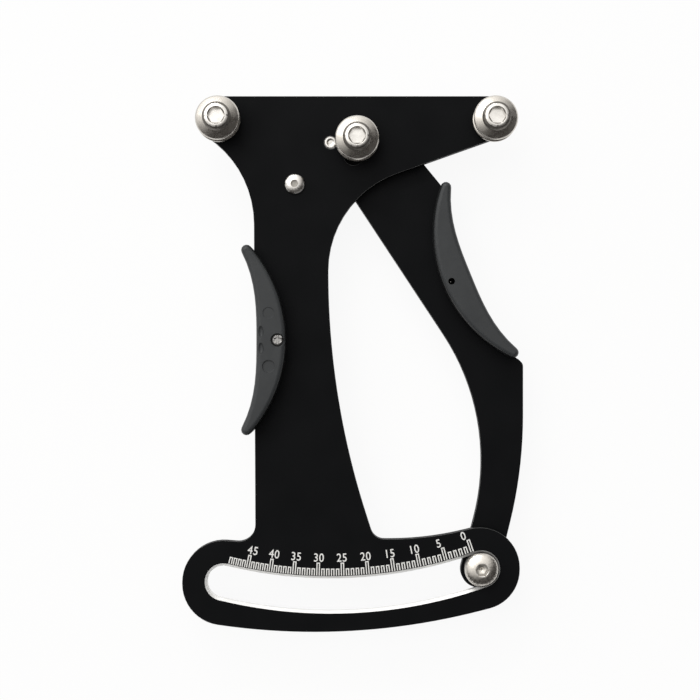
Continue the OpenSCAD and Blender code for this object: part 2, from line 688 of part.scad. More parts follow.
// The pin is stepped down in the front plate and grooved for its clip
module pivot_pin() {
    front = plate_t + pin_proud;
    bevel = 0.5;
    groove_half = pin_d / 2 - clip_bite;
    profile = [[0, front], [pin_front_d / 2 - bevel, front], [pin_front_d / 2, front - bevel],
               [pin_front_d / 2, 0], [pin_d / 2, 0], [pin_d / 2, clip_top], [groove_half, clip_top],
               [groove_half, clip_top - clip_t - end_clear], [pin_d / 2, clip_top - clip_t - end_clear],
               [pin_d / 2, pin_end + bevel], [pin_d / 2 - bevel, pin_end], [0, pin_end]];
    color(bare_steel) in_frame() rotate_extrude() polygon(profile);
}
module pivot_washer() {
    color(bare_steel)
        in_frame()
            ring(coil_d + wire_d + 1, pin_d + 2 * hole_clear, sleeve_end - end_clear,
                 sleeve_end - end_clear - pivot_washer_t);
}
// A three-quarter clip in the pin's groove
module retaining_clip() {
    clip_in = pin_d / 2 - clip_bite + seat_clear;
    color(spring_steel)
        in_frame()
            translate([0, 0, clip_top - clip_t])
                rotate([0, 0, -225])
                    rotate_extrude(angle = 270)
                        translate([clip_in, 0])
                            square([clip_w, clip_t]);
}
module spring_sleeve() {
    color(nylon_black)
        in_frame()
            ring(sleeve_d, pin_d + 2 * hole_clear, bush_end - end_clear, sleeve_end);
}
// The spring's path: the fixed leg, the coil winding up to the arm, and the moving leg
coil_rings = 8;
wire_sides = 6;
coil_n = ceil(coil_sweep / 360 * coil_rings);
function coil_point(s) =
    let (a = fixed_leg_a - coil_sweep * s)
    [each polar(coil_r, a), coil_bottom + (coil_top - coil_bottom) * s];
function leg_point(a, side, along, z) = [each (polar(coil_r, a) + polar(along, a + 90 * side)), z];
spring_path = concat([leg_point(fixed_leg_a, 1, fixed_leg_l, coil_bottom),
                      leg_point(fixed_leg_a, 1, fixed_leg_l / 2, coil_bottom)],
                     [for (i = [0 : coil_n]) coil_point(i / coil_n)],
                     [leg_point(moving_leg_a, -1, moving_leg_l / 2, coil_top),
                      leg_point(moving_leg_a, -1, moving_leg_l, coil_top)]);
// Least distance between wire that is more than half a turn apart, less the wire itself
function self_gap(path, apart) =
    min([for (i = [0 : len(path) - 1], j = [i + apart : 1 : len(path) - 1]) norm(path[i] - path[j])]) - wire_d;
echo(least_gap_of_the_spring_to_itself = self_gap(spring_path, ceil(coil_rings / 2)));
// Rings square to a path that stays nearly level
function path_dir(path, i) =
    unit(path[min(i + 1, len(path) - 1)] - path[max(i - 1, 0)]);
module tube(path, d, sides) {
    n = len(path);
    points = [for (i = [0 : n - 1])
        let (along = path_dir(path, i), side = unit(cross(along, [0, 0, 1])), up = cross(side, along))
        for (k = [0 : sides - 1])
            path[i] + (side * cos(360 * k / sides) + up * sin(360 * k / sides)) * d / 2];
    walls = [for (i = [0 : n - 2], k = [0 : sides - 1])
        let (a = i * sides + k, b = i * sides + (k + 1) % sides)
        each [[a, b, a + sides], [b, b + sides, a + sides]]];
    ends = [[for (k = [sides - 1 : -1 : 0]) k], [for (k = [0 : sides - 1]) (n - 1) * sides + k]];
    polyhedron(points, concat(walls, ends));
}
module torsion_spring() {
    color(spring_steel) in_frame() tube(spring_path, wire_d, wire_sides);
}
module spring_post() {
    color(bare_steel)
        in_frame()
            difference() {
                union() {
                    rod(anchor_post_d, 0, spring_post_end, anchor);
                    rod(anchor_post_d + 2 * spring_post_rim, spring_post_end, spring_post_end - spring_post_rim,
                        anchor);
                }
                bore(anchor_d + 2 * seat_clear, -anchor_grip - past, 0, anchor);
            }
}
module anchor_screw() {
    color(bare_steel)
        in_frame()
            translate([each anchor, plate_t])
                screw(dome_head(anchor_head_d, anchor_head_h, 0.4), anchor_d, plate_t + anchor_grip,
                      anchor_socket, anchor_head_h * 0.6);
}

// ---- Grips ----
// The quarter round of a grip's edge, from the top of its straight sides up to its face
module grip_round() {
    stacked([for (i = [0 : edge_steps])
        let (a = 90 * i / edge_steps)
        [for (p = crescent(grip_edge_r * (1 - cos(a))))
            [each p, grip_h - grip_edge_r + grip_edge_r * sin(a)]]]);
}
// A grip's half with its inner face on its plate; it closes round the plate's edge to mid thickness
module grip_half(t) {
    edge_x = arm_edge_in - move_clear;
    wall_r = notch_r - move_clear;
    wall_a = acos((edge_x - notch_at[0]) / wall_r);
    far = grip_belly + past;
    linear_extrude(grip_h - grip_edge_r) polygon(crescent(0));
    grip_round();
    translate([0, 0, -t / 2])
        linear_extrude(t / 2)
            difference() {
                polygon(crescent(0));
                polygon(concat([[far, -grip_len], [far, grip_len], [edge_x, grip_len]],
                               arc(notch_at, wall_r, wall_a, -2 * wall_a, hollow_steps),
                               [[edge_x, -grip_len]]));
            }
}
// The half that takes the screw's head and carries the pegs
module grip_head_half(t) {
    peg_end = -t - peg_in;
    difference() {
        union() {
            grip_half(t);
            for (side = [-1, 1])
                rod(peg_d, past, peg_end, [peg_x, side * peg_y]);
        }
        bore(grip_screw_d + 2 * hole_clear, -t, grip_h, [grip_screw_x, 0]);
        rod(grip_head_d + 2 * recess_clear, grip_h - grip_screw_sink - grip_head_h, grip_h + past,
            [grip_screw_x, 0]);
    }
}
// The half that takes the screw's thread and the pegs' ends
module grip_thread_half(t) {
    difference() {
        grip_half(t);
        bore(grip_screw_d + 2 * seat_clear, -t, grip_h, [grip_screw_x, 0]);
        for (side = [-1, 1])
            rod(peg_hole_d, -t, peg_in + move_clear, [peg_x, side * peg_y]);
    }
}
grip_screw_rest = grip_h - grip_screw_sink - grip_head_h;
module grip_screw(t) {
    length = grip_screw_rest + t + grip_h - grip_screw_tip;
    cross_w = grip_head_d * 0.2;
    cross_l = grip_head_d * 0.62;
    translate([grip_screw_x, 0, grip_screw_rest])
        difference() {
            union() {
                rod(grip_screw_d, -length, past / 2);
                rotate_extrude() polygon(concat([[0, 0]], cap_head(grip_head_d, grip_head_h, grip_head_h * 0.6)));
            }
            for (turn = [0, 90])
                rotate([0, 0, turn])
                    translate([-cross_l / 2, -cross_w / 2, grip_head_h * 0.45])
                        cube([cross_l, cross_w, grip_head_h]);
        }
}
// Places of a half: on a face that looks up, and turned over on one that looks down
module on_face(at, lean, z) {
    translate([each at, z]) rotate([0, 0, lean]) children();
}
module under_face(at, lean, z) {
    translate([each at, z]) rotate([0, 0, lean]) rotate([180, 0, 0]) children();
}
module grip_left_front() {
    color(grip_grey) in_frame() on_face(left_grip, 0, plate_t) grip_head_half(plate_t);
}
module grip_left_rear() {
    color(grip_grey) in_frame() under_face(left_grip, 0, 0) grip_thread_half(plate_t);
}
module grip_screw_left() {
    color(bare_steel) in_frame() on_face(left_grip, 0, plate_t) grip_screw(plate_t);
}
module grip_right_front() {
    color(grip_grey) in_frame() on_face(right_grip, right_grip_a, arm_front) grip_thread_half(arm_t);
}
module grip_right_rear() {
    color(grip_grey) in_frame() under_face(right_grip, right_grip_a, arm_back) grip_head_half(arm_t);
}
module grip_screw_right() {
    color(bare_steel) in_frame() under_face(right_grip, right_grip_a, arm_back) grip_screw(arm_t);
}

// ---- Arm side ----
module arm_plate() {
    color(black_anodised)
        in_frame()
            difference() {
                translate([0, 0, arm_back]) linear_extrude(arm_t) polygon(arm_outline);
                bore(bush_d + 2 * seat_clear, arm_back, arm_front);
                bore(screw_d + 2 * seat_clear, arm_back, arm_front, mid_post);
                bore(spring_pin_d + 2 * seat_clear, arm_back, arm_front, spring_pin_at);
                bore(screw_d + 2 * hole_clear, arm_back, arm_front, slot_right);
                grip_cuts(right_grip, right_grip_a, arm_back, arm_front);
            }
}
module arm_bush() {
    profile = [[pin_d / 2 + run_clear, -end_clear], [bush_flange_d / 2, -end_clear],
               [bush_flange_d / 2, arm_front], [bush_d / 2, arm_front], [bush_d / 2, bush_end],
               [pin_d / 2 + run_clear, bush_end]];
    color(bronze) in_frame() rotate_extrude() polygon(profile);
}
mid_seat = plate_t + move_clear;
module post_spacer() {
    color(bare_steel) in_frame() ring(spacer_d, screw_d + 2 * hole_clear, arm_front, mid_seat, mid_post);
}
module post_middle() {
    color(bare_steel) in_frame() post(mid_seat, mid_post);
}
module post_screw_middle() {
    color(bare_steel)
        in_frame()
            post_screw(mid_post, mid_seat + post_h, mid_seat + post_h - arm_back);
}
module spring_pin() {
    stem = arm_back - move_clear - wire_d - move_clear;
    color(bare_steel)
        in_frame() {
            rod(spring_pin_d, arm_front, stem, spring_pin_at);
            rod(spring_pin_d + 2 * spring_post_rim, stem, stem - spring_post_rim, spring_pin_at);
        }
}
bush_top = plate_t + move_clear;
washer_top = arm_front + guide_washer_t;
module guide_washer() {
    color(nylon_black)
        in_frame()
            ring(guide_washer_d, screw_d + 2 * hole_clear, arm_front, washer_top, slot_right);
}
module pointer_bush() {
    color(nylon_black)
        in_frame()
            ring(slot_w - 2 * slide_clear, screw_d + 2 * hole_clear, washer_top, bush_top, slot_right);
}
module pointer_screw() {
    length = bush_top - arm_back + washer_t + nut_h + screw_past_nut;
    color(bare_steel)
        in_frame()
            translate([each slot_right, bush_top])
                screw(dome_head(pointer_head_d, pointer_head_h, pointer_flange_t), screw_d, length,
                      pointer_socket, pointer_socket_depth);
}
module pointer_washer() {
    color(bare_steel)
        in_frame()
            ring(washer_d, screw_d + 2 * hole_clear, arm_back, arm_back - washer_t, slot_right);
}
module pointer_nut() {
    color(bare_steel) in_frame() nut(arm_back - washer_t, slot_right);
}

front_plate();
scale_marks();
post_left();
post_right();
post_screw_left();
post_screw_right();
post_washers();
post_nuts();
pivot_pin();
pivot_washer();
retaining_clip();
spring_sleeve();
torsion_spring();
spring_post();
anchor_screw();
grip_left_front();
grip_left_rear();
grip_screw_left();
arm_plate();
arm_bush();
post_spacer();
post_middle();
post_screw_middle();
spring_pin();
pointer_bush();
guide_washer();
pointer_screw();
pointer_washer();
pointer_nut();
grip_right_front();
grip_right_rear();
grip_screw_right();
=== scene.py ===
# %% [markdown]
# # A spoke tension meter, dressed for its portrait
# The meter is two flat black plates joined by one pin. The front plate carries two outer
# posts, a grip and the scale; the arm behind it carries the middle post, the other grip and
# the pointer. The solids and the motion come ready from the frame. This lesson gives each
# piece its soft edges, its numbers and its finish, and then lights it as a catalogue does.

# %% Load the frame
import bpy
import json
import math
from mathutils import Matrix, Vector


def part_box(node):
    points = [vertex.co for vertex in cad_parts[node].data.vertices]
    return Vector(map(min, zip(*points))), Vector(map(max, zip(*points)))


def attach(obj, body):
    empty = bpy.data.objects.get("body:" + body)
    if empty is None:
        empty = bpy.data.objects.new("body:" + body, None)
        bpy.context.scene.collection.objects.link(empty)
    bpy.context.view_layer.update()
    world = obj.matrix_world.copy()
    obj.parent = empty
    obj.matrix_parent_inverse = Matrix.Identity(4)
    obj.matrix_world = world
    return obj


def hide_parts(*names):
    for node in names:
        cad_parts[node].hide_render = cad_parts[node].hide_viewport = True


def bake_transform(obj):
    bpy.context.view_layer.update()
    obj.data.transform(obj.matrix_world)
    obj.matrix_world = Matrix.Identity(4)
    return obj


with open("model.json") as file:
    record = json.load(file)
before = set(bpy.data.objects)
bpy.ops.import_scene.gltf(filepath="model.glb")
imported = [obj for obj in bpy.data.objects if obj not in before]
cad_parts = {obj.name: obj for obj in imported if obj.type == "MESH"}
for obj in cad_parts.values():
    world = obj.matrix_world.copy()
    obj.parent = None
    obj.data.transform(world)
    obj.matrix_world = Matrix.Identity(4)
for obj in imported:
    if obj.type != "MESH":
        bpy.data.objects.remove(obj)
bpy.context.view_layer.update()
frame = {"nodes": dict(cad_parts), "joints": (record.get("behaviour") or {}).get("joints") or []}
nodes = frame["nodes"]
MM = 0.001
print("pieces in the frame:", len(nodes))

# %% [markdown]
# ## The places that everything is measured from
# The pivot is the centre of the tool: the slot, the marks and the numbers all lie on circles
# round it. The other places are read from the boxes of the solids, so they stay right if the
# solids change.

# %% Places
pivot = Vector(frame["joints"][0]["pos_m"])
plate_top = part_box("front_plate")[1].z


def middle(node):
    low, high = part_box(node)
    return (low + high) / 2


print("pivot at", [round(c / MM, 1) for c in pivot], "mm,",
      "plate top", round(plate_top / MM, 2), "mm")

# %% [markdown]
# ## The camera
# The photograph looks straight down on the meter as it lies on its back, from about an arm's
# length. One pixel is 0.41 mm on the plate's face. The lens follows from the distance and the
# width of the picture, so the two can be changed together.

# %% Camera
MM_PER_PIXEL = 0.41
PIVOT_PIXEL = (330.5, 142.5)
PICTURE = 700
SENSOR = 36
camera_height = 0.62

view_centre = Vector((pivot.x + (PICTURE / 2 - PIVOT_PIXEL[0]) * MM_PER_PIXEL * MM,
                      pivot.y - (PICTURE / 2 - PIVOT_PIXEL[1]) * MM_PER_PIXEL * MM))
bpy.ops.object.camera_add(location=(*view_centre, plate_top + camera_height), rotation=(0, 0, 0))
camera = bpy.context.object
camera.data.sensor_width = SENSOR
camera.data.lens = SENSOR * camera_height / (PICTURE * MM_PER_PIXEL * MM)
bpy.context.scene.camera = camera
print("lens", round(camera.data.lens, 1), "mm, over", [round(c / MM, 1) for c in view_centre], "mm")

# %% [markdown]
# ## The studio
# A catalogue photograph has a white sweep and large soft lamps. The floor is nearly white and
# still takes a faint shadow. Bare metal shows little but what it mirrors, so the room itself is
# the main light: it is bright overhead and towards the upper left, and falls off to a dark
# corner opposite. That gives each turned part a light side, a dark side and a dark ring where
# it turns away. The camera sees the room as white as the floor, and so does the metal low down,
# so that no horizon shows. One large softbox on the bright side adds the soft shadows, and a
# narrow strip light beyond the posts draws the short highlights on the tips of the grips.

# %% Floor and world
bpy.context.scene.view_settings.view_transform = "Standard"


def joined(tree, operation, a, b, clamp=False):
    """One Math node, fed by two outputs or by an output and a number."""
    node = tree.nodes.new("ShaderNodeMath")
    node.operation = operation
    node.use_clamp = clamp
    tree.links.new(a, node.inputs[0])
    if isinstance(b, float):
        node.inputs[1].default_value = b
    else:
        tree.links.new(b, node.inputs[1])
    return node.outputs[0]


def reflected_rays(tree):
    """The rays that metal or glass sends on, and those that come straight from the camera."""
    ray = tree.nodes.new("ShaderNodeLightPath").outputs
    sent_on = joined(tree, "ADD", ray["Is Glossy Ray"], ray["Is Transmission Ray"], clamp=True)
    return sent_on, ray["Is Camera Ray"]


floor_size = 6
floor_glow = 0.92
bpy.ops.mesh.primitive_plane_add(size=floor_size, location=(0, 0, 0))
floor = bpy.context.object
floor.name = "floor"
floor_paint = bpy.data.materials.new("pale_floor")
floor_paint.use_nodes = True
tree = floor_paint.node_tree
paint = tree.nodes["Principled BSDF"]
paint.inputs["Base Color"].default_value = (0.86, 0.86, 0.86, 1)
paint.inputs["Roughness"].default_value = 0.9
paint.inputs["Specular IOR Level"].default_value = 0.1
glow = tree.nodes.new("ShaderNodeEmission")
glow.inputs["Color"].default_value = (1, 1, 1, 1)
mix = tree.nodes.new("ShaderNodeMixShader")
sent_on, from_camera = reflected_rays(tree)
seen = joined(tree, "ADD", sent_on, from_camera, clamp=True)
tree.links.new(joined(tree, "MULTIPLY", seen, floor_glow), mix.inputs[0])
tree.links.new(paint.outputs[0], mix.inputs[1])
tree.links.new(glow.outputs[0], mix.inputs[2])
tree.links.new(mix.outputs[0], tree.nodes["Material Output"].inputs["Surface"])
floor.data.materials.append(floor_paint)

light_side = Vector((-0.36, 0.60, 0.75)).normalized()
dark_corner, dark_until = (0.035, 0.032, 0.030, 1), 0.2
bright_side, bright_from = (1.0, 0.985, 0.96, 1), 0.9
room_strength = 1.32
white_below, graded_above = 0.08, 0.22
world = bpy.data.worlds.new("studio")
world.use_nodes = True
bpy.context.scene.world = world
room = world.node_tree
facing = room.nodes.new("ShaderNodeTexCoord")
towards = room.nodes.new("ShaderNodeVectorMath")
towards.operation = "DOT_PRODUCT"
towards.inputs[1].default_value = light_side
grade = room.nodes.new("ShaderNodeValToRGB")
grade.color_ramp.interpolation = "EASE"
grade.color_ramp.elements[0].position, grade.color_ramp.elements[0].color = dark_until, dark_corner
grade.color_ramp.elements[1].position, grade.color_ramp.elements[1].color = bright_from, bright_side
room.links.new(facing.outputs["Generated"], towards.inputs[0])
room.links.new(towards.outputs["Value"], grade.inputs["Fac"])
room.links.new(grade.outputs["Color"], room.nodes["Background"].inputs["Color"])
room.nodes["Background"].inputs["Strength"].default_value = room_strength

height = room.nodes.new("ShaderNodeSeparateXYZ")
low_down = room.nodes.new("ShaderNodeMapRange")
low_down.inputs["From Min"].default_value = white_below
low_down.inputs["From Max"].default_value = graded_above
low_down.inputs["To Min"].default_value = 1
low_down.inputs["To Max"].default_value = 0
room.links.new(facing.outputs["Generated"], height.inputs[0])
room.links.new(height.outputs["Z"], low_down.inputs["Value"])
sweep_white = room.nodes.new("ShaderNodeBackground")
sweep_white.inputs["Color"].default_value = (1, 1, 1, 1)
sweep_white.inputs["Strength"].default_value = 1.0
sent_on, from_camera = reflected_rays(room)
mirrored = joined(room, "MULTIPLY", sent_on, low_down.outputs["Result"])
room_mix = room.nodes.new("ShaderNodeMixShader")
room.links.new(joined(room, "ADD", mirrored, from_camera, clamp=True), room_mix.inputs[0])
room.links.new(room.nodes["Background"].outputs[0], room_mix.inputs[1])
room.links.new(sweep_white.outputs[0], room_mix.inputs[2])
room.links.new(room_mix.outputs[0], room.nodes["World Output"].inputs["Surface"])
print("floor and world ready")

# %% Lamps
lamp_aim = Vector((0, 0, 0.02))


def softbox(name, place, size, power, tint):
    bpy.ops.object.light_add(type="AREA", location=place)
    lamp = bpy.context.object
    lamp.name = name
    lamp.data.shape = "RECTANGLE"
    lamp.data.size, lamp.data.size_y = size
    lamp.data.energy = power
    lamp.data.color = tint
    lamp.rotation_euler = (lamp_aim - Vector(place)).to_track_quat("-Z", "Y").to_euler()


softbox("key_softbox", (-0.7, 0.7, 1.0), (1.3, 1.3), 7, (1.0, 0.985, 0.96))
softbox("strip_light", (-0.3, 1.1, 0.8), (0.6, 0.12), 3, (1.0, 1.0, 1.0))

# %% [markdown]
# ## Finishes
# Each finish is one procedural material. All of them read Object coordinates, in metres, so a
# noise scale of 2000 makes grains of about half a millimetre.
#
# Black anodised aluminium is a dyed, matte oxide skin on blasted metal: nearly black, with a
# very fine grain that breaks up the shine. Its thin machined edges are painted a little brighter, a
# painted highlight.

# %% Helpers for finishes


def new_finish(name, colour, roughness, metallic=0.0, specular=0.5):
    finish = bpy.data.materials.new(name)
    finish.use_nodes = True
    shader = finish.node_tree.nodes["Principled BSDF"]
    shader.inputs["Base Color"].default_value = (*colour, 1)
    shader.inputs["Roughness"].default_value = roughness
    shader.inputs["Metallic"].default_value = metallic
    shader.inputs["Specular IOR Level"].default_value = specular
    return finish


def object_coordinates(finish, centre=(0, 0, 0), stretch=(1, 1, 1)):
    """Object coordinates, moved so that the given point is the pattern's middle."""
    tree = finish.node_tree
    place = tree.nodes.new("ShaderNodeTexCoord")
    mapping = tree.nodes.new("ShaderNodeMapping")
    mapping.inputs["Location"].default_value = [-c * s for c, s in zip(centre, stretch)]
    mapping.inputs["Scale"].default_value = stretch
    tree.links.new(place.outputs["Object"], mapping.inputs["Vector"])
    return mapping.outputs["Vector"]


def noise(finish, where, scale, detail=3):
    grain = finish.node_tree.nodes.new("ShaderNodeTexNoise")
    grain.inputs["Scale"].default_value = scale
    grain.inputs["Detail"].default_value = detail
    finish.node_tree.links.new(where, grain.inputs["Vector"])
    return grain.outputs["Fac"]


def spread(finish, value, low, high):
    """The value from 0.3 to 0.7 made to run from low to high."""
    ranged = finish.node_tree.nodes.new("ShaderNodeMapRange")
    ranged.inputs["From Min"].default_value = 0.3
    ranged.inputs["From Max"].default_value = 0.7
    ranged.inputs["To Min"].default_value = low
    ranged.inputs["To Max"].default_value = high
    finish.node_tree.links.new(value, ranged.inputs["Value"])
    return ranged.outputs["Result"]


def two_tones(finish, value, dark, light):
    """A colour between dark and light that follows the value, on the base colour."""
    ramp = finish.node_tree.nodes.new("ShaderNodeValToRGB")
    ramp.color_ramp.elements[0].position = 0.3
    ramp.color_ramp.elements[0].color = (*dark, 1)
    ramp.color_ramp.elements[1].position = 0.7
    ramp.color_ramp.elements[1].color = (*light, 1)
    finish.node_tree.links.new(value, ramp.inputs["Fac"])
    finish.node_tree.links.new(ramp.outputs["Color"],
                               finish.node_tree.nodes["Principled BSDF"].inputs["Base Color"])


def rough(finish, value, low, high):
    finish.node_tree.links.new(spread(finish, value, low, high),
                               finish.node_tree.nodes["Principled BSDF"].inputs["Roughness"])


def relief(finish, value, depth, strength=1.0):
    bump = finish.node_tree.nodes.new("ShaderNodeBump")
    bump.inputs["Strength"].default_value = strength
    bump.inputs["Distance"].default_value = depth
    finish.node_tree.links.new(value, bump.inputs["Height"])
    finish.node_tree.links.new(bump.outputs["Normal"],
                               finish.node_tree.nodes["Principled BSDF"].inputs["Normal"])


print("helpers ready")

# %% Black anodised aluminium and its bare machined rim


def black_anodised():
    finish = new_finish("black_anodised", (0.004, 0.0045, 0.005), 0.5, specular=0.05)
    where = object_coordinates(finish)
    grain = noise(finish, where, 2600, 2)
    two_tones(finish, noise(finish, where, 60), (0.0034, 0.0037, 0.0043), (0.0048, 0.0051, 0.0058))
    rough(finish, noise(finish, where, 240), 0.44, 0.56)
    relief(finish, grain, 0.00002, 0.6)
    return finish


def anodised_edge():
    """The small round on the plates' edges, painted lighter than the face as a painted highlight,
    and a little glossier.
    """
    finish = new_finish("anodised_edge", (0.03, 0.03, 0.031), 0.36, specular=0.6)
    where = object_coordinates(finish)
    two_tones(finish, noise(finish, where, 300), (0.03, 0.03, 0.031), (0.085, 0.085, 0.087))
    rough(finish, noise(finish, where, 900), 0.3, 0.46)
    return finish


def bare_rim():
    """Bright machined aluminium with the fine circles that the cutter leaves round the pivot."""
    finish = new_finish("bare_machined_rim", (0.92, 0.92, 0.91), 0.42, metallic=0.55)
    where = object_coordinates(finish, centre=(pivot.x, pivot.y, 0))
    circles = finish.node_tree.nodes.new("ShaderNodeTexWave")
    circles.wave_type = "RINGS"
    circles.rings_direction = "Z"
    circles.inputs["Scale"].default_value = 900
    circles.inputs["Distortion"].default_value = 0.6
    finish.node_tree.links.new(where, circles.inputs["Vector"])
    rough(finish, noise(finish, where, 500), 0.38, 0.5)
    relief(finish, circles.outputs["Fac"], 0.00001, 0.5)
    return finish


anodised, rim, edge_highlight_paint = black_anodised(), bare_rim(), anodised_edge()
print("made", anodised.name, rim.name, edge_highlight_paint.name)

# %% [markdown]
# The posts are turned from steel bar: the tool leaves rings round the post's own axis, so each
# post has its pattern's centre at its own middle. Screws are cold-formed and plated, so theirs
# is only a soft mottling. The spring's wire is drawn, with streaks; the bush is sintered bronze.

# %% Steel, spring wire, bronze


def turned_steel(name, centre):
    finish = new_finish(name, (0.66, 0.63, 0.585), 0.28, metallic=1.0)
    where = object_coordinates(finish, centre=(centre.x, centre.y, 0))
    rings = finish.node_tree.nodes.new("ShaderNodeTexWave")
    rings.wave_type = "RINGS"
    rings.rings_direction = "Z"
    rings.inputs["Scale"].default_value = 1100
    rings.inputs["Distortion"].default_value = 0.4
    rings.inputs["Detail"].default_value = 2
    finish.node_tree.links.new(where, rings.inputs["Vector"])
    two_tones(finish, noise(finish, where, 180), (0.60, 0.57, 0.53), (0.70, 0.67, 0.62))
    rough(finish, noise(finish, where, 420), 0.22, 0.34)
    relief(finish, rings.outputs["Fac"], 0.000008, 0.5)
    return finish


def plated_steel():
    finish = new_finish("plated_steel", (0.66, 0.645, 0.62), 0.25, metallic=1.0)
    where = object_coordinates(finish)
    two_tones(finish, noise(finish, where, 260), (0.66, 0.64, 0.61), (0.82, 0.80, 0.77))
    rough(finish, noise(finish, where, 500), 0.2, 0.34)
    relief(finish, noise(finish, where, 1800), 0.00001, 0.5)
    return finish


def spring_wire():
    finish = new_finish("spring_wire", (0.42, 0.42, 0.43), 0.34, metallic=1.0)
    where = object_coordinates(finish, stretch=(1, 1, 6))
    two_tones(finish, noise(finish, where, 400), (0.30, 0.30, 0.31), (0.50, 0.50, 0.51))
    rough(finish, noise(finish, where, 900), 0.28, 0.42)
    return finish


def sintered_bronze():
    finish = new_finish("sintered_bronze", (0.62, 0.42, 0.22), 0.45, metallic=1.0)
    where = object_coordinates(finish)
    two_tones(finish, noise(finish, where, 700), (0.50, 0.33, 0.16), (0.70, 0.50, 0.28))
    relief(finish, noise(finish, where, 3000), 0.00003, 0.7)
    return finish


def shaded_steel(name, dark, light):
    """The same steel made darker for painted shade on heads' sides and in sockets, lighter for a
    painted highlight on socket rings, and greyer for the dull zinc of the left grip's screw.
    """
    finish = new_finish(name, dark, 0.45, metallic=1.0)
    where = object_coordinates(finish)
    two_tones(finish, noise(finish, where, 500), dark, light)
    relief(finish, noise(finish, where, 2200), 0.00003, 0.8)
    return finish


screw_steel, wire, bronze = plated_steel(), spring_wire(), sintered_bronze()
# Painted shade on the sides of the screw heads, where they turn away from the light.
painted_shade_head_side = shaded_steel("painted_shade_head_side", (0.13, 0.12, 0.11), (0.24, 0.225, 0.205))
# Painted shade in the sockets: on their floors, and on the rings round the post screws' sockets.
painted_shade_socket = shaded_steel("painted_shade_socket", (0.30, 0.285, 0.265), (0.42, 0.40, 0.37))
# A painted highlight on the bevelled rings round the anchor's and the pointer's sockets.
painted_highlight_socket_ring = shaded_steel("painted_highlight_socket_ring", (0.80, 0.79, 0.77), (0.93, 0.92, 0.90))
zinc = shaded_steel("dull_zinc", (0.30, 0.295, 0.29), (0.52, 0.51, 0.50))
metals = (screw_steel, wire, bronze, painted_shade_head_side, painted_shade_socket, painted_highlight_socket_ring, zinc)
print("made", [metal.name for metal in metals])

# %% [markdown]
# The grips are moulded in dark grey nylon with a fine spark-eroded grain. The print on the
# scale is a white ink, a little uneven. The guide washer, pointer bush and sleeve are plain
# black nylon.

# %% Plastics and ink


def grip_plastic():
    finish = new_finish("grip_plastic", (0.033, 0.0355, 0.038), 0.5, specular=0.3)
    where = object_coordinates(finish)
    two_tones(finish, noise(finish, where, 90), (0.0305, 0.033, 0.0355), (0.0375, 0.0405, 0.043))
    rough(finish, noise(finish, where, 600), 0.42, 0.56)
    relief(finish, noise(finish, where, 2400, 2), 0.00003, 0.6)
    return finish


def grip_edge_plastic():
    """The rounds and sides are painted darker, a painted shade where they lean away from the light,
    and their lower roughness makes them shine more.
    """
    finish = new_finish("grip_edge_plastic", (0.011, 0.012, 0.0125), 0.3, specular=0.5)
    where = object_coordinates(finish)
    two_tones(finish, noise(finish, where, 120), (0.009, 0.010, 0.0105), (0.014, 0.015, 0.0155))
    rough(finish, noise(finish, where, 900), 0.26, 0.38)
    return finish


def white_ink():
    finish = new_finish("white_ink", (0.82, 0.82, 0.80), 0.55)
    where = object_coordinates(finish)
    two_tones(finish, noise(finish, where, 1500), (0.70, 0.70, 0.69), (0.86, 0.86, 0.84))
    relief(finish, noise(finish, where, 4000), 0.000008, 0.5)
    return finish


def black_nylon():
    finish = new_finish("black_nylon", (0.014, 0.014, 0.014), 0.4)
    where = object_coordinates(finish)
    rough(finish, noise(finish, where, 800), 0.34, 0.48)
    relief(finish, noise(finish, where, 2500), 0.00001, 0.5)
    return finish


grip_grey, grip_edge_painted_shade, ink, nylon = grip_plastic(), grip_edge_plastic(), white_ink(), black_nylon()
print("made", grip_grey.name, grip_edge_painted_shade.name, ink.name, nylon.name)

# %% [markdown]
# ## Taking a solid over from the frame
# A solid comes as loose triangles with knife-sharp edges. A copy is merged into one skin, its
# flat faces are joined, its sharp edges get a small round by the Bevel modifier, and then it is
# shaded smooth up to an angle. The copy stands for its solid.

# %% A copy with soft edges


def pick(piece):
    if bpy.context.object and bpy.context.object.mode != "OBJECT":
        bpy.ops.object.mode_set(mode="OBJECT")
    bpy.ops.object.select_all(action="DESELECT")
    piece.select_set(True)
    bpy.context.view_layer.objects.active = piece


def merged_copy(node, name):
    piece = bpy.data.objects.new(name, nodes[node].data.copy())
    bpy.context.scene.collection.objects.link(piece)
    piece.data.materials.clear()
    pick(piece)
    bpy.ops.object.mode_set(mode="EDIT")
    bpy.ops.mesh.select_all(action="SELECT")
    bpy.ops.mesh.remove_doubles(threshold=0.000002)
    bpy.ops.mesh.dissolve_limited(angle_limit=math.radians(0.4))
    bpy.ops.object.mode_set(mode="OBJECT")
    return piece


def soften(piece, width, from_angle=40, segments=2):
    pick(piece)
    bevel = piece.modifiers.new("soft_edges", "BEVEL")
    bevel.width = width
    bevel.segments = segments
    bevel.limit_method = "ANGLE"
    bevel.angle_limit = math.radians(from_angle)
    bevel.use_clamp_overlap = True
    bpy.ops.object.modifier_apply(modifier=bevel.name)


def smooth(piece, up_to=35):
    """Smooth up to an angle; the large flat faces keep their own normals, so they stay flat."""
    pick(piece)
    bpy.ops.object.shade_smooth_by_angle(angle=math.radians(up_to))
    weighted = piece.modifiers.new("flat_faces_first", "WEIGHTED_NORMAL")
    weighted.keep_sharp = True
    bpy.ops.object.modifier_apply(modifier=weighted.name)


def stand_for(piece, node, finish, body):
    piece.data.materials.append(finish)
    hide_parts(node)
    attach(piece, body)


def dressed(node, name, finish, body, edge=0.15, from_angle=40, up_to=35):
    piece = merged_copy(node, name)
    if edge:
        soften(piece, edge * MM, from_angle)
    smooth(piece, up_to)
    stand_for(piece, node, finish, body)
    print(name, len(piece.data.polygons), "faces")
    return piece
